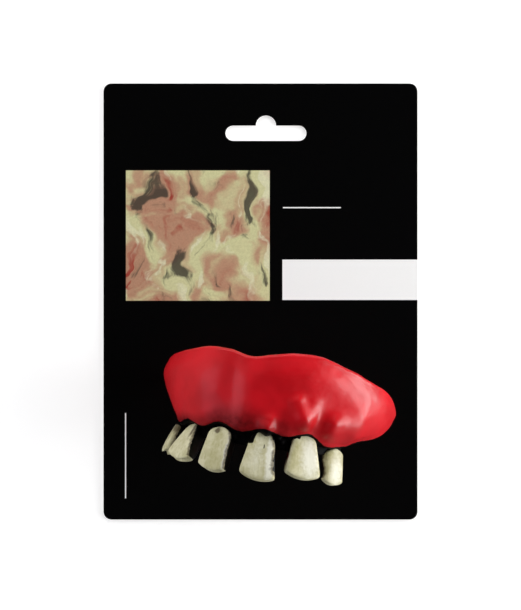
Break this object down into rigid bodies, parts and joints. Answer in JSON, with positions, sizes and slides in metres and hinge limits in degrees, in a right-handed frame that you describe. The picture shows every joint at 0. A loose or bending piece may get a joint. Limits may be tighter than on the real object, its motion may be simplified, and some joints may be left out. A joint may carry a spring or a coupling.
{
  "type": "costume teeth on a hang card",
  "caption": "Slip-on upper costume teeth: a glossy red gum shell with uneven, stained ivory teeth, shown on a plain black hang card with a peg slot.",
  "frame": {"origin": "middle of the card's back face, which lies on the floor", "axes": "+X to the card's right, +Y to its top edge, where the peg slot is, +Z out of its printed face"},
  "size_m": [0.0864, 0.12, 0.0438],
  "materials": {
    "card": "satin printed board",
    "gum": "glossy, with black paint where it meets the teeth",
    "tooth": "semi-gloss ivory, with olive and black stains",
    "post": "matte"
  },
  "bodies": {
    "root": {"display_card": "card", "gum_shell": "gum", "tooth_left_outer": "tooth", "tooth_left_middle": "tooth", "tooth_left_inner": "tooth", "tooth_right_inner": "tooth", "tooth_right_middle": "tooth", "tooth_right_outer": "tooth", "holding_post": "post"}
  },
  "joints": []
}
